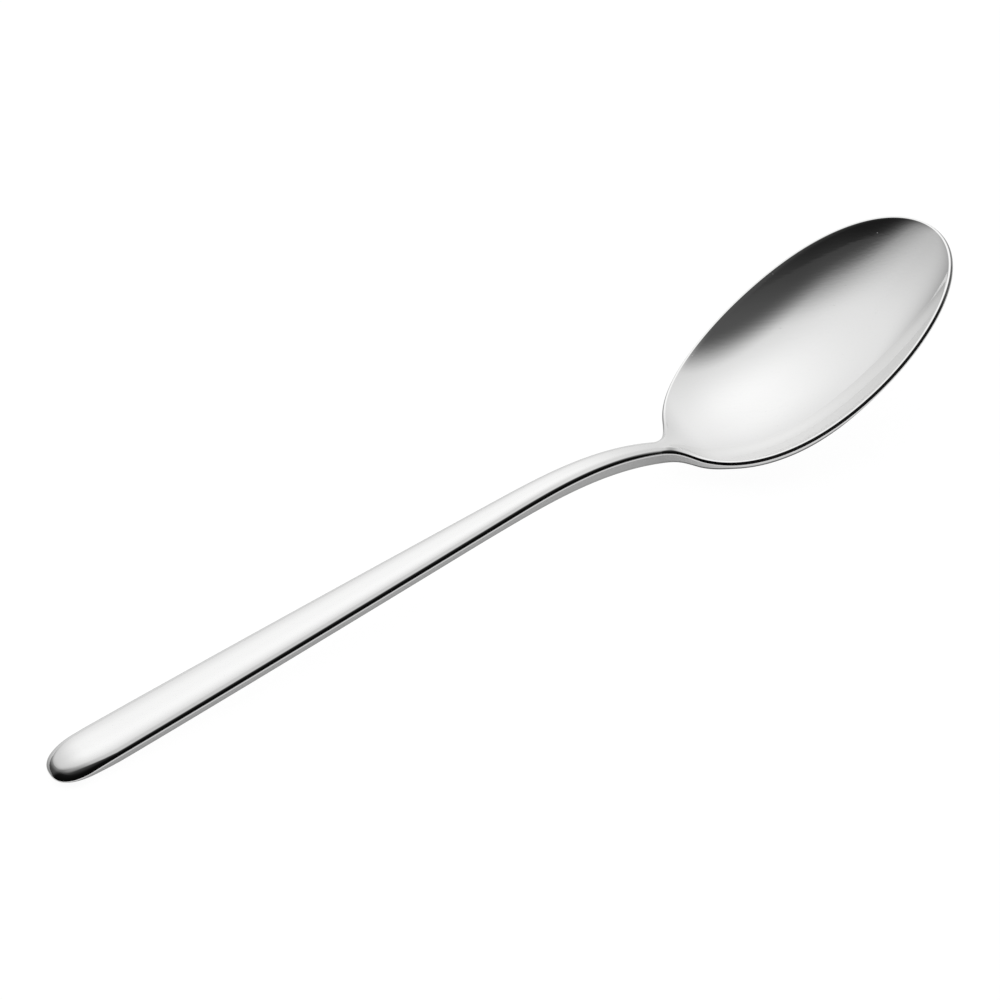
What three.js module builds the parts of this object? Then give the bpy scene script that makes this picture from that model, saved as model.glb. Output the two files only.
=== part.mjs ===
// A dessert spoon lying on a table: an oval bowl and a slim tapering handle, welded at the neck.
import * as THREE from 'three';
import { mergeVertices } from 'three/addons/utils/BufferGeometryUtils.js';

// Plan sizes, in millimetres
const overallLength = 180;
const bowlLength = 58;
const bowlWidth = 36.6;
const bowlRoundness = 2.05; // exponent of the oval: 2 is a plain ellipse
const handleEndWidth = 9.3;
const handleEndLength = 6.6; // length of the rounded end
const handleEndRoundness = 2.4;
const taperPower = 1.3; // 1 tapers straight, more keeps the end full
const neckWidth = 3.4;
const flareLength = 2.8; // from the weld to the heel of the bowl
const flareEnd = 19; // degrees round the oval where the flare meets it
const flarePull = 0.38; // share of its length over which each end of the flare stays straight

// Side profile of the edge line, measured from the straight part of the handle
const straightLength = 90.5;
const weldDrop = 6.4;
const bendFullness = 2.73; // slope at the weld over the mean slope of the bend
const lowestDrop = 7.75;
const lowestPastHeel = 1.7;
const tipRise = 5.75;
const tipSlope = 0.19;

// Thicknesses, measured down from the edge line
const handleThickness = 2.3;
const neckThickness = 3.3;
const rimThickness = 1.5;
const tipThickness = 0.95;
const thinStart = 15; // past the heel, where the rim begins to thin towards the tip
const thinEnd = 35;
const endBlend = 10.5; // length of handle over which the edges of its end soften
const neckBlend = 39; // length of handle over which its neck thickens
const rimBlend = 6; // length past the heel over which the neck turns into the rim
const floorBlend = 26; // length past the heel over which the floor thins

// Edges and domed top of the handle
const handleShoulder = 0.85; // from the edge line down to the crisp edge of the side wall
const endShoulder = 1.15;
const rollWidth = 0.42; // narrow rounding between the crisp edge and the dome
const endRollWidth = 0.8;
const rollPower = 0.6; // less than 1 keeps most of the rounding steep
const rollAngle = 68; // degrees, slope of the rounding at the crisp edge
const domeAngle = 31; // degrees, slope of the dome where the rounding meets it
const domeFullness = 2.9; // exponent of the dome: more is flatter in the middle
const backChamfer = 0.25;
const endChamfer = 0.95;
const largestChamfer = 0.86; // share of the side wall that a chamfer may take

// Rim and hollow of the bowl
const rimShoulder = 0.45;
const bevelAngle = 55; // degrees, slope of the bevel on the outside of the rim
const landWidth = 0.3; // narrow flat on top of the rim
const rimChamfer = 0.2;
const bowlDepth = 6.1; // below the edge line at the deepest point
const deepestPastHeel = 16.8;
const tipFloorSlope = 0.74; // slope of the hollow where it reaches the tip
const bowlFloor = 1.6; // thickness of the metal at the deepest point
const bowlFullness = 2.4; // exponent of the hollow's cross-section: 2 is a parabola
const backFullness = 2.9;

// How finely the surfaces are divided
const endSteps = 10;
const straightSteps = 4;
const bendSteps = 10;
const flareSteps = 8;
const bowlSteps = 36;
const rollSteps = 4;
const acrossSteps = 17; // odd, so that a flat strip runs along the middle and the bowl doesn't rock

const heelX = overallLength - bowlLength;
const weldX = heelX - flareLength;
const lowestX = heelX + lowestPastHeel;
const deepestX = heelX + deepestPastHeel;
const weldSlope = (-bendFullness * weldDrop) / (weldX - straightLength);
const { lerp, smoothstep, degToRad } = THREE.MathUtils;

// Plan outline of one side, from the end of the handle to the tip of the bowl
function handleHalfWidth(x) {
  const along = Math.max(0, (x - handleEndLength) / (weldX - handleEndLength));
  return lerp(handleEndWidth, neckWidth, along ** taperPower) / 2;
}

function handleEnd(share) {
  const rest = Math.cos((share * Math.PI) / 2);
  const x = handleEndLength * (1 - rest);
  const round = Math.max(0, 1 - rest ** handleEndRoundness) ** (1 / handleEndRoundness);
  return new THREE.Vector2(x, handleHalfWidth(x) * round);
}

function handleEdge(fromX, toX, share) {
  const x = lerp(fromX, toX, share);
  return new THREE.Vector2(x, handleHalfWidth(x));
}

function bowlOval(angle) {
  const across = Math.max(0, 1 - Math.abs(Math.cos(angle)) ** bowlRoundness) ** (1 / bowlRoundness);
  return new THREE.Vector2(heelX + (bowlLength * (1 - Math.cos(angle))) / 2, (bowlWidth / 2) * across);
}

function makeFlare() {
  const joinAngle = degToRad(flareEnd);
  const start = new THREE.Vector2(weldX, neckWidth / 2);
  const end = bowlOval(joinAngle);
  const smallTurn = 0.001;
  const direction = bowlOval(joinAngle + smallTurn).sub(end).normalize();
  const pull = start.distanceTo(end) * flarePull;
  const afterStart = new THREE.Vector2(start.x + pull, start.y);
  const beforeEnd = end.clone().addScaledVector(direction, -pull);
  return new THREE.CubicBezierCurve(start, afterStart, beforeEnd, end);
}

function stretch(steps, pointAt) {
  return Array.from({ length: steps }, (_, step) => pointAt(step / steps));
}

function makeOutline() {
  const flare = makeFlare();
  const joinAngle = degToRad(flareEnd);
  const handle = [
    ...stretch(endSteps, handleEnd),
    ...stretch(straightSteps, (share) => handleEdge(handleEndLength, straightLength, share)),
    ...stretch(bendSteps, (share) => handleEdge(straightLength, weldX, share)),
  ];
  const bowl = [
    ...stretch(flareSteps, (share) => flare.getPoint(share)),
    ...stretch(bowlSteps, (share) => bowlOval(lerp(joinAngle, Math.PI, share))),
    new THREE.Vector2(overallLength, 0),
  ];
  return { points: [...handle, ...bowl], weldIndex: handle.length };
}

function outwardNormal({ points, weldIndex }, index) {
  if (index === 0) return new THREE.Vector2(-1, 0);
  if (index === points.length - 1) return new THREE.Vector2(1, 0);
  if (index === weldIndex) return new THREE.Vector2(0, 1);
  const along = points[index + 1].clone().sub(points[index - 1]);
  return new THREE.Vector2(-along.y, along.x).normalize();
}

// Side profile and thicknesses along the spoon
function curveBetween(x, from, to) {
  const length = to.x - from.x;
  const share = (x - from.x) / length;
  const rest = 1 - share;
  const ends = from.z * rest * rest * (1 + 2 * share) + to.z * share * share * (1 + 2 * rest);
  return ends + length * share * rest * (from.slope * rest - to.slope * share);
}

function edgeLine(x) {
  const bend = { x: straightLength, z: 0, slope: 0 };
  const weld = { x: weldX, z: -weldDrop, slope: weldSlope };
  const lowest = { x: lowestX, z: -lowestDrop, slope: 0 };
  const tip = { x: overallLength, z: tipRise, slope: tipSlope };
  if (x < bend.x) return bend.z;
  if (x < weld.x) return curveBetween(x, bend, weld);
  return x < lowest.x ? curveBetween(x, weld, lowest) : curveBetween(x, lowest, tip);
}

// Bottom of the hollow, from the top of the weld to the inner edge of the rim at the tip
function floorLine(x, weldTop, tipTop) {
  const weld = { x: weldTop.x, z: weldTop.z, slope: weldSlope };
  const deepest = { x: deepestX, z: edgeLine(deepestX) - bowlDepth, slope: 0 };
  const tip = { x: tipTop.x, z: tipTop.z, slope: tipFloorSlope };
  return x < deepestX ? curveBetween(x, weld, deepest) : curveBetween(x, deepest, tip);
}

function rimShare(x) {
  return smoothstep(x, weldX, heelX + rimBlend);
}

function thickness(x, bowlBlend) {
  const handle = lerp(handleThickness, neckThickness, smoothstep(x, weldX - neckBlend, weldX));
  const rim = lerp(rimThickness, tipThickness, smoothstep(x, heelX + thinStart, heelX + thinEnd));
  return lerp(handle, rim, smoothstep(x, weldX, heelX + bowlBlend));
}

// Value that changes from the end of the handle to its bar, and again at the rim of the bowl
function edgeSize(x, atEnd, alongBar, atRim) {
  return lerp(lerp(atEnd, alongBar, smoothstep(x, 0, endBlend)), atRim, rimShare(x));
}

// Points over the top of the edge, as distances inwards and upwards from the crisp edge
function handleRoll(width) {
  const points = [];
  let rise = 0;
  for (let step = 1; step <= rollSteps; step += 1) {
    const left = 1 - (step - 1 / 2) / rollSteps;
    const slope = degToRad(domeAngle + (rollAngle - domeAngle) * left ** rollPower);
    rise += (Math.tan(slope) * width) / rollSteps;
    points.push(new THREE.Vector2((width * step) / rollSteps, rise));
  }
  return points;
}

function rimRoll() {
  const half = rollSteps / 2;
  const bevelWidth = rimShoulder / Math.tan(degToRad(bevelAngle));
  const shares = stretch(half, (share) => share + 1 / half);
  const bevel = shares.map((share) => new THREE.Vector2(bevelWidth * share, rimShoulder * share));
  const land = shares.map((share) => new THREE.Vector2(bevelWidth + landWidth * share, rimShoulder));
  return [...bevel, ...land];
}

// One side of a section, from the edge of the back up the side wall and over the top of the edge
function makeWall(outline, index) {
  const point = outline.points[index];
  const normal = outwardNormal(outline, index);
  const backZ = edgeLine(point.x) - thickness(point.x, rimBlend);
  const crispZ = edgeLine(point.x) - edgeSize(point.x, endShoulder, handleShoulder, rimShoulder);
  const chamfer = edgeSize(point.x, endChamfer, backChamfer, rimChamfer);
  const cut = Math.min(chamfer, largestChamfer * (crispZ - backZ));
  const inset = (distance, z) => {
    const halfWidth = Math.max(0, point.y - normal.y * distance);
    return new THREE.Vector3(point.x - normal.x * distance, halfWidth, z);
  };
  const rim = rimRoll();
  const roll = handleRoll(edgeSize(point.x, endRollWidth, rollWidth, rollWidth));
  const over = roll.map((corner, step) => corner.lerp(rim[step], rimShare(point.x)));
  return [
    inset(cut, backZ),
    inset(0, backZ + cut),
    inset(0, crispZ),
    ...over.map((corner) => inset(corner.x, crispZ + corner.y)),
  ];
}

// Points between a corner and its mirror image, lifted to a dome or sunk to a hollow
function makeRow(corner, direction, riseAt) {
  const row = [];
  for (let step = 1; step < acrossSteps; step += 1) {
    const share = direction * (1 - (2 * step) / acrossSteps);
    row.push(new THREE.Vector3(corner.x, corner.y * share, corner.z + riseAt(Math.abs(share))));
  }
  return row;
}

function domeHeight(outline, index, corner) {
  const across = outwardNormal(outline, index).y * corner.y;
  const rise = (Math.tan(degToRad(domeAngle)) * across) / domeFullness;
  return rise * (1 - rimShare(outline.points[index].x));
}

// Closed section: up one side, across the top, down the other side and back across
function makeSection(outline, index, walls) {
  const { x } = outline.points[index];
  const wall = walls[index];
  const otherWall = wall.map((corner) => new THREE.Vector3(corner.x, -corner.y, corner.z)).reverse();
  const topOf = (row) => {
    const corner = walls[row][walls[row].length - 1].clone();
    corner.z += domeHeight(outline, row, corner);
    return corner;
  };
  const [back, top, summit] = [wall[0], wall[wall.length - 1], topOf(index)];
  const [weldTop, tipTop] = [topOf(outline.weldIndex), topOf(walls.length - 1)];
  const hollow = index > outline.weldIndex ? summit.z - floorLine(top.x, weldTop, tipTop) : 0;
  const floorExtra = thickness(x, floorBlend) - thickness(x, rimBlend);
  const backDepth = hollow * (1 + (bowlFloor - rimThickness) / bowlDepth) + floorExtra;
  const dome = summit.z - top.z;
  const topRise = (share) => dome * (1 - share ** domeFullness) - hollow * (1 - share ** bowlFullness);
  const backRise = (share) => -backDepth * (1 - share ** backFullness);
  return [...wall, ...makeRow(top, 1, topRise), ...otherWall, ...makeRow(back, -1, backRise)];
}

// Closed body through a run of sections, with a flat face on the end that is welded
function loft(sections, weldedSection) {
  const count = sections[0].length;
  const triangles = [];
  for (let row = 0; row < sections.length - 1; row += 1) {
    for (let column = 0; column < count; column += 1) {
      const next = (column + 1) % count;
      const here = row * count;
      const ahead = here + count;
      triangles.push([here + column, here + next, ahead + next]);
      triangles.push([here + column, ahead + next, ahead + column]);
    }
  }
  const facesBack = weldedSection === 0;
  const weldContour = sections[weldedSection].map((corner) => new THREE.Vector2(corner.y, corner.z));
  for (const [a, b, c] of THREE.ShapeUtils.triangulateShape(weldContour, [])) {
    const start = weldedSection * count;
    triangles.push(facesBack ? [start + a, start + c, start + b] : [start + a, start + b, start + c]);
  }
  const shell = new THREE.BufferGeometry().setFromPoints(sections.flat());
  shell.setIndex(triangles.flat());
  const merged = mergeVertices(shell);
  const corners = Array.from(merged.index.array);
  const kept = triangles.map((_, face) => corners.slice(3 * face, 3 * face + 3));
  merged.setIndex(kept.filter(([a, b, c]) => a !== b && b !== c && c !== a).flat());
  merged.computeVertexNormals();
  return merged;
}

function makeMesh(name, sections, weldedSection) {
  const steel = new THREE.MeshStandardMaterial({ color: 0xc9c9c8, roughness: 0.16, metalness: 1 });
  const mesh = new THREE.Mesh(loft(sections, weldedSection), steel);
  mesh.name = name;
  return mesh;
}

// Angle that brings the handle end and the bowl down on the table together
function restAngle(sections) {
  const [end, ...others] = sections.map((section) => section.reduce((a, b) => (b.z < a.z ? b : a)));
  const slopes = others.map((lowest) => (lowest.z - end.z) / (lowest.x - end.x));
  return Math.atan(Math.min(...slopes));
}

function makeSpoon() {
  const outline = makeOutline();
  const walls = outline.points.map((_, index) => makeWall(outline, index));
  const sections = walls.map((_, index) => makeSection(outline, index, walls));
  const handleSections = sections.slice(0, outline.weldIndex + 1);
  const bowlSections = sections.slice(outline.weldIndex);
  const body = new THREE.Group();
  body.add(makeMesh('handle', handleSections, outline.weldIndex), makeMesh('bowl', bowlSections, 0));
  body.rotation.y = restAngle(sections);
  body.updateMatrixWorld(true);
  const box = new THREE.Box3().setFromObject(body, true);
  const middle = box.getCenter(new THREE.Vector3());
  body.position.set(-middle.x, 0, -box.min.z);
  return new THREE.Group().add(body);
}

export default makeSpoon();
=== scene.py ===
import math

import bmesh
import bpy
import numpy as np
from mathutils import Matrix, Vector


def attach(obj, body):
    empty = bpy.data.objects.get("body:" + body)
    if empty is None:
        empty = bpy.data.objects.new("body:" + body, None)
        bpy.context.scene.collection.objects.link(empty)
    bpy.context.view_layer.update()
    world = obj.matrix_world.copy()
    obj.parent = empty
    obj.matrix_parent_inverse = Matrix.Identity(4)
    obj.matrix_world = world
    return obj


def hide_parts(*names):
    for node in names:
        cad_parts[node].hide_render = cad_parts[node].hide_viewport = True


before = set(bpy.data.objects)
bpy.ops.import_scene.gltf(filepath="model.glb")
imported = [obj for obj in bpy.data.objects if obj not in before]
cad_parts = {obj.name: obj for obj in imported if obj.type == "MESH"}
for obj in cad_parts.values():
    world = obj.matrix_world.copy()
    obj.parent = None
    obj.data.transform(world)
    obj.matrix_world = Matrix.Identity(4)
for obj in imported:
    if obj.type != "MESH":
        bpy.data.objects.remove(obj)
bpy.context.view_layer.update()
print("frame: loaded", sorted(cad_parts))

mm = 0.001

# the spoon is drawn in its own frame: x runs from the handle's end to the tip of the bowl,
# z is 0 on the top edge of the straight handle, and all lengths are in millimetres
profile = {
    "overallLength": 180.0,
    "straightLength": 90.5,
    "weldDrop": 6.4,
    "bendFullness": 2.73,                          # slope at the weld over the mean slope of the bend
    "lowestDrop": 7.75,
    "lowestPastHeel": 1.7,
    "tipRise": 5.75,
    "tipSlope": 0.19,                              # rise over run
}
handle = {
    "endWidth": 9.3,
    "endLength": 6.6,                              # of the rounded end
    "endRoundness": 2.4,
    "taperPower": 1.3,
    "neckWidth": 3.4,
    "thickness": 2.3,                              # from the edge line down to the back
    "neckThickness": 3.3,
    "neckBlend": 39.0,
    "shoulder": 0.85,                              # crisp edge of the side wall, below the edge line
    "endShoulder": 1.0,
    "endBlend": 12.0,                              # from the very end to the plain bar
    "rollWidth": 0.42,                             # rounding between the crisp edge and the crown
    "rollPower": 0.6,
    "edgeSlope": 68.0,                             # degrees, just above the crisp edge
    "slopeWidth": 0.47,                            # even slope inside the roll
    "crownSlope": 30.5,                            # degrees, where the roll runs into the crown
    "crownPower": 3.1,
    "endRollWidth": (1.33, 1.72),                  # at the very end, and where the sides start
    "endRollPower": 1.3,
    "endEdgeSlope": (51.0, 58.0),                  # degrees, at the same two places
    "endCrownSlope": 31.0,
    "backChamfer": 0.25,
    "endChamfer": 1.1,
    "rows": {"end": 24, "straight": 36, "bend": 40},
}
bowl = {
    "length": 58.0,
    "width": 36.6,
    "roundness": 2.05,
    "flareLength": 2.8,                            # from the weld to the heel
    "flareEnd": 19.0,                              # degrees round the oval
    "flarePull": 0.38,
    "depth": 6.1,                                  # below the rim at the deepest point
    "deepestPastHeel": 16.8,
    "tipFloorSlope": 0.755,                        # rise over run
    "fullness": 2.4,                               # exponent of the hollow's cross-section
    "heelFullness": 1.85,
    "fullnessBlend": 12.0,                         # past the heel
    "floor": 1.6,                                  # thickness at the deepest point
    "floorBlend": 26.0,                            # past the heel, the neck's thickness fades in the middle
    "backFullness": 2.9,
    "rimThickness": 1.5,
    "rimBlend": 6.0,                               # past the heel, the neck's thickness fades at the rim
    "tipThickness": 0.95,
    "thinning": (15.0, 35.0),                      # past the heel
    "rimShoulder": 0.45,
    "rimSlope": 55.0,                              # degrees, bevel on the outside of the rim
    "landWidth": 0.2,                              # narrow flat on top of the rim
    "landRadius": 0.1,
    "landBlend": 3.5,                              # past the heel, the rim has its full shape
    "lipAngle": 40.0,                              # degrees, where the land runs into the hollow
    "backChamfer": 0.2,
    "rows": {"flare": 24, "oval": 120},
}
edge = {
    "creaseRadius": 0.22,                          # fine rounding above the side wall
    "creaseSteps": 3,
    "chamferSharpness": 0.4,                       # 0.5 is a flat chamfer, less is rounder
    "chamferSteps": 4,
    "shadeStripHeight": 0.32,                            # strip of the side wall above the chamfer, darkened by painted shade
    "shadeStripMost": 0.4,                               # of the wall's height
    "shadeStripFade": 1.25,                              # the strip has faded at this many times its height
    "brightHeight": 0.15,                          # polished strip below the crisp edge
    "brightFrom": 0.8,                             # of the wall's height
    "rollSteps": 20,
    "slopeSteps": 5,                               # of the roll's steps, on the slope inside it
    "acrossSteps": 56,
}

heelX = profile["overallLength"] - bowl["length"]
weldX = heelX - bowl["flareLength"]
weldSlope = profile["bendFullness"] * -profile["weldDrop"] / (weldX - profile["straightLength"])
joinAngle = math.radians(bowl["flareEnd"])         # where the flare meets the oval
quarterRoll = edge["rollSteps"] // 4               # steps of the rim's bevel, land and two roundings each


def lerp(a, b, share):
    return a + (b - a) * share


def ease(x, start, end):
    share = np.clip((x - start) / (end - start), 0, 1)
    return share * share * (3 - 2 * share)


def pastEnd(x):                                    # 0 at the handle's very end, 1 on the plain bar
    return ease(x, 0, handle["endBlend"])


def pastNeck(x):                                   # 0 on the handle, 1 where the rim has its full shape
    return ease(x, weldX, heelX + bowl["landBlend"])


def handleHalfWidth(x):
    along = np.maximum(0, (x - handle["endLength"]) / (weldX - handle["endLength"]))
    return lerp(handle["endWidth"], handle["neckWidth"], along ** handle["taperPower"]) / 2


def roundedEnd(share):
    rest = np.cos(share * math.pi / 2)
    x = handle["endLength"] * (1 - rest)
    power = handle["endRoundness"]
    return np.column_stack([x, handleHalfWidth(x) * np.maximum(0, 1 - rest ** power) ** (1 / power)])


def taperedEdge(startX, endX, share):
    x = lerp(startX, endX, share)
    return np.column_stack([x, handleHalfWidth(x)])


def bowlOval(angle):
    power = bowl["roundness"]
    cosine = np.cos(angle)
    halfWidth = bowl["width"] / 2 * np.maximum(0, 1 - np.abs(cosine) ** power) ** (1 / power)
    return np.column_stack([heelX + bowl["length"] * (1 - cosine) / 2, halfWidth])


def flareCurve(share):
    smallTurn = 0.001
    start = np.array([weldX, handle["neckWidth"] / 2])
    end, beyond = bowlOval(np.array([joinAngle, joinAngle + smallTurn]))
    pull = bowl["flarePull"] * np.linalg.norm(end - start)
    heading = (beyond - end) / np.linalg.norm(beyond - end)
    corners = [start, start + [pull, 0], end - pull * heading, end]
    weights = [math.comb(3, k) * share ** k * (1 - share) ** (3 - k) for k in range(4)]
    return sum(np.outer(weight, corner) for weight, corner in zip(weights, corners))


def planOutline():                                 # one side of the spoon seen from above
    def steps(count):
        return np.arange(count) / count

    rows = handle["rows"]
    handleSide = [
        roundedEnd(steps(rows["end"])),
        taperedEdge(handle["endLength"], profile["straightLength"], steps(rows["straight"])),
        taperedEdge(profile["straightLength"], weldX, steps(rows["bend"])),
    ]
    bowlSide = [
        flareCurve(steps(bowl["rows"]["flare"])),
        bowlOval(lerp(joinAngle, math.pi, steps(bowl["rows"]["oval"]))),
        np.array([[profile["overallLength"], 0.0]]),
    ]
    points = np.vstack(handleSide + bowlSide)
    weldRow = sum(len(part) for part in handleSide)
    along = np.vstack([[0, 1], points[2:] - points[:-2], [0, -1]])
    along[weldRow] = [1, 0]
    outward = np.column_stack([-along[:, 1], along[:, 0]])
    return points, outward / np.linalg.norm(outward, axis=1, keepdims=True), weldRow


def curveBetween(x, start, end):                   # each end is its x, its height and its slope
    length = end[0] - start[0]
    share = (x - start[0]) / length
    rest = 1 - share
    ends = start[1] * rest ** 2 * (1 + 2 * share) + end[1] * share ** 2 * (1 + 2 * rest)
    return ends + length * share * rest * (start[2] * rest - end[2] * share)


def edgeLine(x):                                   # side view of the top edge
    bend = (profile["straightLength"], 0, 0)
    weld = (weldX, -profile["weldDrop"], weldSlope)
    lowest = (heelX + profile["lowestPastHeel"], -profile["lowestDrop"], 0)
    tip = (profile["overallLength"], profile["tipRise"], profile["tipSlope"])
    stretches = [x < bend[0], x < weld[0], x < lowest[0]]
    heights = [0 * x, curveBetween(x, bend, weld), curveBetween(x, weld, lowest)]
    return np.select(stretches, heights, curveBetween(x, lowest, tip))


def thickness(x, bowlBlend):
    bar = lerp(handle["thickness"], handle["neckThickness"], ease(x, weldX - handle["neckBlend"], weldX))
    rim = lerp(bowl["rimThickness"], bowl["tipThickness"], ease(x - heelX, *bowl["thinning"]))
    return lerp(bar, rim, ease(x, weldX, heelX + bowlBlend))


def endShape(x, key):                              # from the very end to where the sides start
    return lerp(*handle[key], ease(x, 0, handle["endLength"]))


def handleRoll(x):                                 # inset and rise of every step, row by row
    def slopes(count, steepest, least, power):
        rest = 1 - (np.arange(count) + 0.5) / count
        return lerp(least, steepest, rest ** power)

    count, even = edge["rollSteps"], edge["slopeSteps"]
    steep = count - even
    steepSlope = slopes(steep, handle["edgeSlope"], handle["crownSlope"], handle["rollPower"])
    barSlope = np.append(steepSlope, np.full(even, handle["crownSlope"]))
    barStep = np.repeat([handle["rollWidth"] / steep, handle["slopeWidth"] / even], [steep, even])
    x = x[:, np.newaxis]
    endSlope = slopes(count, endShape(x, "endEdgeSlope"), handle["endCrownSlope"], handle["endRollPower"])
    endStep = endShape(x, "endRollWidth") / count
    step = lerp(endStep, barStep, pastEnd(x))
    rise = step * np.tan(np.radians(lerp(endSlope, barSlope, pastEnd(x))))
    return np.cumsum(step, axis=1), np.cumsum(rise, axis=1)


def rimRoll():                                     # bevel, narrow flat land, then over into the hollow
    bevel, lip = math.radians(bowl["rimSlope"]), math.radians(bowl["lipAngle"])
    radius = bowl["landRadius"]
    bevelRise = bowl["rimShoulder"] - radius * (1 - math.cos(bevel))
    outer, inner = np.linspace(bevel, 0, quarterRoll + 1), np.linspace(0, -lip, quarterRoll + 1)
    inset = [
        np.full(quarterRoll, bevelRise / math.tan(bevel) / quarterRoll),
        -radius * np.diff(np.sin(outer)),
        np.full(quarterRoll, bowl["landWidth"] / quarterRoll),
        -radius * np.diff(np.sin(inner)),
    ]
    rise = [
        np.full(quarterRoll, bevelRise / quarterRoll),
        radius * np.diff(np.cos(outer)),
        np.zeros(quarterRoll),
        radius * np.diff(np.cos(inner)),
    ]
    return np.cumsum(np.concatenate(inset)), np.cumsum(np.concatenate(rise))


def sideWall(points, outward):                     # columns from the back, up and over the edge
    x = points[:, 0]
    endShare, rimShare = pastEnd(x), pastNeck(x)

    def blend(atEnd, onBar, onRim):
        return lerp(lerp(atEnd, onBar, endShare), onRim, rimShare)

    def inset(distance, z):
        flat = points - outward * np.reshape(distance, (-1, 1))
        return np.column_stack([flat[:, 0], np.maximum(0, flat[:, 1]), z])

    chamfer = blend(handle["endChamfer"], handle["backChamfer"], bowl["backChamfer"])
    shoulder = blend(handle["endShoulder"], handle["shoulder"], bowl["rimShoulder"])
    steepest = np.radians(blend(endShape(x, "endEdgeSlope"), handle["edgeSlope"], bowl["rimSlope"]))
    topZ = edgeLine(x)
    edgeZ = topZ - shoulder
    backZ = topZ - thickness(x, bowl["rimBlend"])
    crease = edge["creaseRadius"]
    wallFoot = backZ + chamfer
    wallTop = edgeZ - crease * np.cos(steepest)
    shadeStripHeight = np.minimum(edge["shadeStripHeight"], edge["shadeStripMost"] * (wallTop - wallFoot))
    brightFoot = np.maximum(wallTop - edge["brightHeight"], lerp(wallFoot, wallTop, edge["brightFrom"]))

    columns = []
    for share in np.linspace(0, 1, edge["chamferSteps"] + 1):
        pull = 2 * share * (1 - share) * edge["chamferSharpness"]
        columns.append(inset(chamfer * ((1 - share) ** 2 + pull), backZ + chamfer * (share ** 2 + pull)))
    for z in (wallFoot + shadeStripHeight, wallFoot + edge["shadeStripFade"] * shadeStripHeight, brightFoot):
        columns.append(inset(0, z))
    for share in np.linspace(0, 1, edge["creaseSteps"] + 1):
        slope = lerp(math.pi / 2, steepest, share)
        z = edgeZ - crease * (np.cos(steepest) - np.cos(slope))
        columns.append(inset(crease * (1 - np.sin(slope)), z))
    creaseInset = crease * (1 - np.sin(steepest))
    barInset, barRise = handleRoll(x)
    for step, (rimInset, rimRise) in enumerate(zip(*rimRoll())):
        reach = lerp(barInset[:, step], rimInset, rimShare)
        columns.append(inset(creaseInset + reach, edgeZ + lerp(barRise[:, step], rimRise, rimShare)))
    return np.stack(columns, axis=1)


def acrossRow(corner, sign, lifts):                # from a corner to its mirror image
    share = sign * (1 - 2 * np.arange(1, edge["acrossSteps"]) / edge["acrossSteps"])
    rise = 0
    for lift, power in lifts:
        rise = rise + lift[:, np.newaxis] * (1 - np.abs(share) ** np.reshape(power, (-1, 1)))
    x = np.repeat(corner[:, :1], len(share), axis=1)
    return np.stack([x, np.outer(corner[:, 1], share), corner[:, 2:] + rise], axis=2)


def floorLine(x, start, end):                      # side view of the bottom of the hollow
    deepX = heelX + bowl["deepestPastHeel"]
    deepest = (deepX, edgeLine(np.array(deepX)) - bowl["depth"], 0)
    fromWeld = curveBetween(x, (start[0], start[2], weldSlope), deepest)
    toTip = curveBetween(x, deepest, (end[0], end[2], bowl["tipFloorSlope"]))
    return np.where(x < deepX, fromWeld, toTip)


def spoonSections():
    points, outward, weldRow = planOutline()
    x = points[:, 0]
    wall = sideWall(points, outward)
    mirrored = wall[:, ::-1] * [1, -1, 1]
    back, top = wall[:, 0], wall[:, -1]
    crownRise = math.tan(math.radians(handle["crownSlope"])) / handle["crownPower"]
    crown = crownRise * top[:, 1] * outward[:, 1] * (1 - pastNeck(x))
    crest = top + np.column_stack([0 * x, 0 * x, crown])
    hollow = np.where(x > weldX, crest[:, 2] - floorLine(top[:, 0], crest[weldRow], crest[-1]), 0)
    floorExtra = thickness(x, bowl["floorBlend"]) - thickness(x, bowl["rimBlend"])
    backDepth = hollow * (1 + (bowl["floor"] - bowl["rimThickness"]) / bowl["depth"]) + floorExtra
    fullness = lerp(bowl["heelFullness"], bowl["fullness"], ease(x, heelX, heelX + bowl["fullnessBlend"]))
    topRow = acrossRow(top, 1, [(crown, handle["crownPower"]), (-hollow, fullness)])
    backRow = acrossRow(back, -1, [(-backDepth, bowl["backFullness"])])
    sections = np.concatenate([wall, topRow, mirrored, backRow], axis=1)
    return sections, weldRow, edgeFinish(x, wall.shape[1])


# how satin the steel is, which also darkens it with painted shade, and how much more painted shade darkens
# it,
# 0 to 1, and the two places between which that comes or goes, from the handle's end or past the heel
finish = {
    "satinEnd": 0.2,                               # side wall, satin with painted shade: the handle's end, the bar and the bowl
    "satinBar": 0.88,
    "satinBowl": 0.1,
    "satinFrom": (2.0, 6.0),                       # from the end
    "satinUntil": (-2.8, 8.0),                     # past the heel
    "footBar": 0.15,                               # painted shade on the lower part of the side wall
    "footBowl": 1.0,
    "footTip": 0.6,
    "footEnd": (2.0, 6.0),                         # from the end
    "footFrom": (-4.8, 3.0),                       # past the heel
    "footUntil": (22.0, 32.0),
    "tipFrom": (44.0, 54.0),
    "roll": 0.95,                                  # painted shade on the rounding of the handle's edge
    "rollUntil": (-8.8, 4.0),                      # past the heel
    "bevel": 0.1,                                  # painted shade on the bevel of the bowl's rim
    "bevelFrom": (3.0, 13.0),                      # past the heel
    "bevelUntil": (47.0, 54.0),
    "topEnd": 0.28,                                # painted shade on the top of the handle's end, and of the neck
    "topNeck": 0.1,
    "topUntil": (0.5, 8.0),                        # from the end
    "neckFrom": (-18.8, -2.8),                     # past the heel
    "neckUntil": (1.0, 5.0),
}


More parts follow.
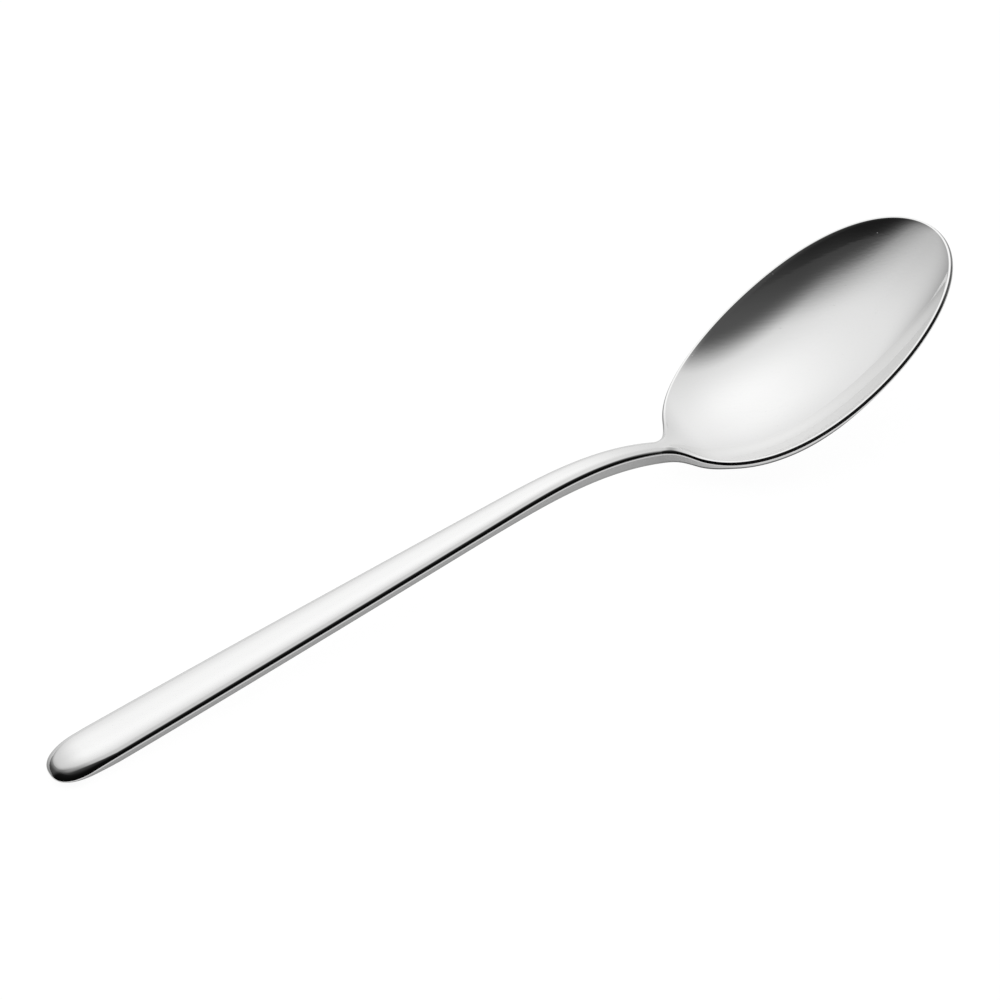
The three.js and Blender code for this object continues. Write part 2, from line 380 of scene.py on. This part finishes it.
def edgeFinish(x, side):                           # satin-with-painted-shade and painted-shade masks over the corners of the sections
    def pastHeel(key):
        return ease(x - heelX, *finish[key])

    satinAndShade = lerp(finish["satinEnd"], finish["satinBar"], ease(x, *finish["satinFrom"]))
    satinAndShade = lerp(satinAndShade, finish["satinBowl"], pastHeel("satinUntil"))
    foot = lerp(finish["footBar"], finish["footBowl"], pastHeel("footFrom")) * (1 - pastHeel("footUntil"))
    foot = np.maximum(foot, finish["footTip"] * pastHeel("tipFrom"))
    foot = np.maximum(foot, 1 - ease(x, *finish["footEnd"]))
    top = finish["topEnd"] * (1 - ease(x, *finish["topUntil"]))
    top = top + finish["topNeck"] * pastHeel("neckFrom") * (1 - pastHeel("neckUntil"))
    bevel = lerp(finish["roll"], finish["bevel"], pastHeel("bevelFrom") * (1 - pastHeel("bevelUntil")))

    # column numbers, in the order of sideWall and spoonSections
    wallFoot = edge["chamferSteps"]
    shadeStripTop, brightFoot = wallFoot + 1, wallFoot + 3
    roll, slope = side - edge["rollSteps"], side - edge["slopeSteps"]
    bevelEnd = roll + quarterRoll
    middle = side + edge["acrossSteps"] // 2
    lastMirrored = 2 * side + edge["acrossSteps"] - 2
    runs = [
        (0, range(wallFoot, brightFoot + 1), satinAndShade),
        # painted shade: the runs on the second mask darken the colour of the wall's foot, the edge's
        # rounding, the handle's end and the neck
        (1, range(shadeStripTop + 1), foot),
        (1, range(slope, middle), top),
    ]
    for column in range(roll, slope):
        atEnd = 1 - (column - roll) / edge["rollSteps"]
        onBar = finish["roll"] * lerp(atEnd, 1, pastEnd(x))
        onRim = bevel if column < bevelEnd else 0
        runs.append((1, [column], lerp(onBar, onRim, pastHeel("rollUntil"))))
    masks = np.zeros((2, len(x), lastMirrored + edge["acrossSteps"]))
    for mask, columns, amount in runs:
        for column in columns:
            masks[mask, :, [column, lastMirrored - column]] = amount
    return masks


def layOnTable(sections):                          # handle end and bowl both touch the table
    lowest = sections[np.arange(len(sections)), sections[:, :, 2].argmin(axis=1)]
    slopes = (lowest[1:, 2] - lowest[0, 2]) / (lowest[1:, 0] - lowest[0, 0])
    pitch = -math.atan(slopes.min())
    turned = sections @ np.array(Matrix.Rotation(-pitch, 3, "Y")).T
    corners = turned.reshape(-1, 3)
    middle = (corners.min(axis=0) + corners.max(axis=0)) / 2
    turned -= [middle[0], 0, corners[:, 2].min()]
    return turned * mm, pitch


meshing = {
    "merge": 1e-7,                                 # metres
    "collapse": 1e-8,
    "creaseAngle": 18.0,                           # degrees, sharper lines stay crisp
}


def loftPiece(name, sections, masks, weldSection):     # a flat cap closes it at the weld
    count = sections.shape[1]
    corners = sections.reshape(-1, 3)
    column = np.arange(count)
    ahead = np.roll(column, -1)
    quads = []
    for row in range(len(sections) - 1):
        here, there = row * count, (row + 1) * count
        quads += np.column_stack([here + column, here + ahead, there + ahead, there + column]).tolist()
    ring = (weldSection * count + column).tolist()
    cap = ring[::-1] if weldSection == 0 else ring
    mesh = bpy.data.meshes.new(name)
    mesh.from_pydata(corners.tolist(), [], quads + [cap])
    # the masks carry satin roughness with painted shade, and painted shade
    for label, mask in zip(("satinAndShade", "paintedShade"), masks):
        values = mask.ravel().astype(np.float32)
        mesh.attributes.new(label, "FLOAT", "POINT").data.foreach_set("value", values)
    mesh.validate()
    piece = bpy.data.objects.new(name, mesh)
    bpy.context.scene.collection.objects.link(piece)
    return piece


def tidyMesh(piece):
    shape = bmesh.new()
    shape.from_mesh(piece.data)
    bmesh.ops.remove_doubles(shape, verts=shape.verts, dist=meshing["merge"])
    bmesh.ops.dissolve_degenerate(shape, edges=shape.edges, dist=meshing["collapse"])
    bmesh.ops.recalc_face_normals(shape, faces=shape.faces)
    for face in shape.faces:
        face.smooth = True
    creaseAngle = math.radians(meshing["creaseAngle"])
    for line in shape.edges:
        line.smooth = len(line.link_faces) == 2 and line.calc_face_angle(0) < creaseAngle
    shape.to_mesh(piece.data)
    shape.free()


class Wire:                                        # a shader socket that takes part in sums
    def __init__(self, tree, socket=None):
        self.tree, self.socket = tree, socket

    def node(self, kind, settings=None, inputs=None, output=0):
        made = self.tree.nodes.new(kind)
        for name, value in (settings or {}).items():
            setattr(made, name, value)
        for name, value in (inputs or {}).items():
            if isinstance(value, Wire):
                self.tree.links.new(value.socket, made.inputs[name])
            else:
                made.inputs[name].default_value = value
        return Wire(self.tree, made.outputs[output] if made.outputs else None)

    def maths(self, operation, first, second):
        return self.node("ShaderNodeMath", {"operation": operation}, {0: first, 1: second})

    def __add__(self, other):
        return self.maths("ADD", self, other)

    def __sub__(self, other):
        return self.maths("SUBTRACT", self, other)

    def __rsub__(self, other):
        return self.maths("SUBTRACT", other, self)

    def __mul__(self, other):
        return self.maths("MULTIPLY", self, other)

    def __truediv__(self, other):
        return self.maths("DIVIDE", self, other)

    def __rtruediv__(self, other):
        return self.maths("DIVIDE", other, self)

    __radd__ = __add__
    __rmul__ = __mul__


def emptyTree(owner):
    owner.use_nodes = True
    owner.node_tree.nodes.clear()
    return Wire(owner.node_tree)


steel = {
    "colour": (0.86, 0.86, 0.857, 1.0),
    "roughness": 0.05,
    "satinRoughness": 0.33,
    # painted shade: share by which the satin parts' colour is darkened
    "satinPaintedShade": 0.5,
    # painted shade: the most that the painted-shade mask darkens the colour
    "paintedShadeDepth": 0.75,
    "streakTurn": -29.4,                           # degrees from the x axis
    "streakSize": (0.03, 0.0004, 0.0004),          # metres
    "streakDetail": 3.0,
    "streakHeight": 2.6e-6,                        # metres
    "streakRoughness": 0.05,
    "streakShade": 0.03,
    "pitSpacing": 0.0022,                          # metres
    "pitRadius": 0.045,                            # share of the spacing
    "pitDepth": 2.5e-5,                            # metres
}


def steelMaterial():
    material = bpy.data.materials.new("polishedSteel")
    wire = emptyTree(material)
    satinAndShade = wire.node("ShaderNodeAttribute", {"attribute_name": "satinAndShade"}, output="Fac")
    paintedShade = wire.node("ShaderNodeAttribute", {"attribute_name": "paintedShade"}, output="Fac")
    place = wire.node("ShaderNodeTexCoord", output="Object")
    turned = wire.node("ShaderNodeMapping", {"vector_type": "TEXTURE"}, {
        "Vector": place,
        "Rotation": (0, 0, math.radians(steel["streakTurn"])),
        "Scale": steel["streakSize"],
    })
    streaks = wire.node("ShaderNodeTexNoise", None, {
        "Vector": turned,
        "Scale": 1.0,
        "Detail": steel["streakDetail"],
    })
    nearest = wire.node("ShaderNodeTexVoronoi", None, {
        "Vector": place,
        "Scale": 1 / steel["pitSpacing"],
    }, "Distance")
    pits = wire.node("ShaderNodeMapRange", {"interpolation_type": "SMOOTHSTEP"}, {
        "Value": nearest,
        "From Min": 0.0,
        "From Max": steel["pitRadius"],
        "To Min": 1.0,
        "To Max": 0.0,
    })
    height = streaks * steel["streakHeight"] - pits * steel["pitDepth"]
    evenStreaks = streaks - 0.5                    # as much below 0 as above
    # painted shade: both masks darken the base colour, standing in for darker reflections on the wall, the
    # edge's rounding, the handle's end and the neck
    shade = (1 - satinAndShade * steel["satinPaintedShade"]) * (1 - paintedShade * steel["paintedShadeDepth"])
    shade = shade * (1 - evenStreaks * steel["streakShade"])
    colour = wire.node("ShaderNodeMix", {"data_type": "RGBA"}, {
        0: shade,
        6: (0, 0, 0, 1),                           # the two colours
        7: steel["colour"],
    }, 2)
    polish = steel["roughness"] + evenStreaks * steel["streakRoughness"]
    surface = wire.node("ShaderNodeBsdfPrincipled", None, {
        "Base Color": colour,
        "Metallic": 1.0,
        "Roughness": polish + satinAndShade * (steel["satinRoughness"] - steel["roughness"]),
        "Normal": wire.node("ShaderNodeBump", None, {"Strength": 1.0, "Distance": 1.0, "Height": height}),
    })
    wire.node("ShaderNodeOutputMaterial", None, {"Surface": surface})
    return material


studio = {                                         # directions: degrees from the zenith, and round from +x
    "strength": 1 / steel["colour"][0],            # makes up for what the steel swallows
    "brightest": (20.3, 71.3),
    "base": 0.547,
    "peak": 0.741,
    "peakWidth": 0.534,
    "heightFade": -0.368,
    "roofTowards": (36.3, 50.7),                   # the tent's roof fades towards its rim
    "roofFade": (0.165, 0.574),
    "roofLeast": 0.134,
    "frontTowards": (90.0, 83.0),                  # soft edges of the opening behind the camera
    "frontEdge": (-0.638, -0.225),
    "leftTowards": (90.0, 17.0),
    "leftEdge": (-0.805, -0.624),
    "darkTowards": (15.0, -20.0),                  # the dark room behind that opening
    "darkEdge": (0.411, 0.828),
    "darkLeast": 0.041,
    "darkMost": 0.078,
    "stripTowards": (6.0, 60.1),                   # a darker strip of it, with a sharp edge
    "stripEdge": (0.584, 0.596),
    "stripDepth": 0.73,
    "lowEdge": (0.42, 0.6),                        # it is a little darker near the floor
    "lowLeast": 0.75,
    "backdrop": (0.97, 0.97, 0.97, 1.0),
}


def direction(angles):
    zenith, azimuth = np.radians(angles)
    return (math.sin(zenith) * math.cos(azimuth), math.sin(zenith) * math.sin(azimuth), math.cos(zenith))


def studioWorld():
    world = bpy.data.worlds.new("studio")
    bpy.context.scene.world = world
    wire = emptyTree(world)
    ray = wire.node("ShaderNodeTexCoord", output="Generated")
    up = (0, 0)

    def facing(angles):
        return wire.node("ShaderNodeVectorMath", {"operation": "DOT_PRODUCT"}, {
            0: ray,
            1: direction(angles),
        }, "Value")

    def fade(angles, edges, least=0.0):
        return wire.node("ShaderNodeMapRange", {"interpolation_type": "SMOOTHSTEP"}, {
            "Value": facing(angles),
            "From Min": edges[0],
            "From Max": edges[1],
            "To Min": least,
            "To Max": 1.0,
        })

    offPeak = (facing(studio["brightest"]) - 1) / studio["peakWidth"]
    glow = wire.node("ShaderNodeMath", {"operation": "EXPONENT"}, {0: offPeak})
    tent = studio["base"] + studio["peak"] * glow + studio["heightFade"] * facing(up)
    tent = tent * fade(studio["roofTowards"], studio["roofFade"], studio["roofLeast"])
    opening = fade(studio["frontTowards"], studio["frontEdge"])
    opening = opening * fade(studio["leftTowards"], studio["leftEdge"])
    overhead = fade(studio["darkTowards"], studio["darkEdge"])
    dark = studio["darkLeast"] + (studio["darkMost"] - studio["darkLeast"]) * overhead * overhead
    strip = 1 - fade(studio["stripTowards"], studio["stripEdge"])
    strip = strip * (1 - overhead) * (1 - overhead)
    dark = dark * (1 - studio["stripDepth"] * strip)
    dark = dark * fade(up, studio["lowEdge"], studio["lowLeast"])
    light = dark + (tent - dark) * opening
    lit = wire.node("ShaderNodeBackground", None, {
        "Color": (1, 1, 1, 1),
        "Strength": light * studio["strength"],
    })
    backdrop = wire.node("ShaderNodeBackground", None, {"Color": studio["backdrop"]})
    seen = wire.node("ShaderNodeLightPath", output="Is Camera Ray")
    both = wire.node("ShaderNodeMixShader", None, {0: seen, 1: lit, 2: backdrop})
    wire.node("ShaderNodeOutputWorld", None, {"Surface": both})


floor = {
    "radius": 4.0,                                 # metres
    "corners": 96,
    "gap": 0.0001,                                 # below the spoon, metres
    "colour": (0.93, 0.93, 0.93, 1.0),
    "lift": 0.87,                                  # share of plain white that lightens the shadow
    "glossyLift": 0.35,
    "white": 1.09,
}


def makeFloor():
    bpy.ops.mesh.primitive_circle_add(
        vertices=floor["corners"],
        radius=floor["radius"],
        fill_type="NGON",
        location=(0, 0, -floor["gap"]),
    )
    piece = bpy.context.object
    piece.name = "floor"
    material = bpy.data.materials.new("paleFloor")
    wire = emptyTree(material)
    paper = wire.node("ShaderNodeBsdfDiffuse", None, {"Color": floor["colour"]})
    glow = wire.node("ShaderNodeEmission", None, {"Color": (1, 1, 1, 1), "Strength": floor["white"]})
    seen = wire.node("ShaderNodeLightPath", output="Is Camera Ray")
    mirrored = wire.node("ShaderNodeLightPath", output="Is Glossy Ray")
    share = seen * floor["lift"] + mirrored * floor["glossyLift"]
    both = wire.node("ShaderNodeMixShader", None, {0: share, 1: paper, 2: glow})
    wire.node("ShaderNodeOutputMaterial", None, {"Surface": both})
    piece.data.materials.append(material)


camera = {
    "location": (-170.168, -419.489, 487.493),     # millimetres
    "aim": (-0.253, 1.75, 10.116),
    "roll": -10.24,                                # degrees
    "lens": 138.6,
    "sensor": 36.0,
    "clip": (0.01, 50.0),                          # metres
}


def makeCamera():
    data = bpy.data.cameras.new("camera")
    data.lens, data.sensor_width = camera["lens"], camera["sensor"]
    data.clip_start, data.clip_end = camera["clip"]
    piece = bpy.data.objects.new("camera", data)
    bpy.context.scene.collection.objects.link(piece)
    location, aim = Vector(camera["location"]) * mm, Vector(camera["aim"]) * mm
    roll = Matrix.Rotation(math.radians(camera["roll"]), 3, "Z").to_quaternion()
    turn = (location - aim).to_track_quat("Z", "Y") @ roll
    piece.matrix_world = Matrix.Translation(location) @ turn.to_matrix().to_4x4()
    bpy.context.scene.camera = piece


makeCamera()
print("camera: placed")

sections, weldRow, masks = spoonSections()
sections, pitch = layOnTable(sections)
print("spoon: handle rises by", round(math.degrees(pitch), 3), "degrees")
polished = steelMaterial()
stretches = [("handle", slice(0, weldRow + 1), weldRow), ("bowl", slice(weldRow, None), 0)]
for node, rows, weldSection in stretches:
    piece = loftPiece(node + "_steel", sections[rows], masks[:, rows], weldSection)
    tidyMesh(piece)
    piece.data.materials.append(polished)
    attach(piece, "root")
    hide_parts(node)
    print("piece:", piece.name, len(piece.data.polygons), "faces")

makeFloor()
studioWorld()
bpy.context.scene.view_settings.view_transform = "Standard"
print("studio: floor and light ready")
